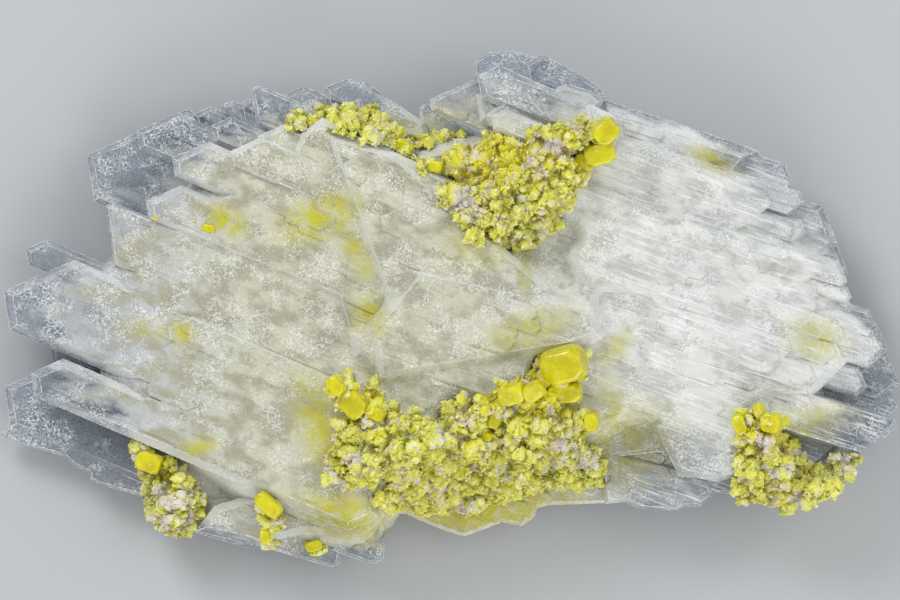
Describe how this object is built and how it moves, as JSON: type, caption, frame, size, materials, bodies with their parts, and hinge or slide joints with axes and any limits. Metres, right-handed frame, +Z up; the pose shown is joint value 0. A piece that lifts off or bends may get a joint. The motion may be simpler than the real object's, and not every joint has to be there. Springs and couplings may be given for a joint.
{
  "type": "gypsum crystal cluster with native sulphur",
  "caption": "Fan-shaped mineral specimen of intergrown clear and milky gypsum blades, lying flat, with granular yellow sulphur crusts seated between them.",
  "frame": {"origin": "middle of the specimen's bounding box, on the surface that it lies on", "axes": "+X along the specimen's length, towards the end with the saw-tooth row of blade tips; +Y across it; +Z up, out of the face that carries the sulphur"},
  "size_m": [0.18, 0.1034, 0.0352],
  "materials": {
    "selenite": "clear at the rim, milky inside, frosted in places",
    "sulphur": "granular, matt to resinous"
  },
  "bodies": {
    "root": {"gypsum_cluster": "selenite", "sulphur_crust_bottom": "sulphur", "sulphur_crust_top": "sulphur", "sulphur_crust_right": "sulphur", "sulphur_crust_left": "sulphur", "sulphur_sprig": "sulphur", "sulphur_bead": "sulphur"}
  },
  "joints": []
}
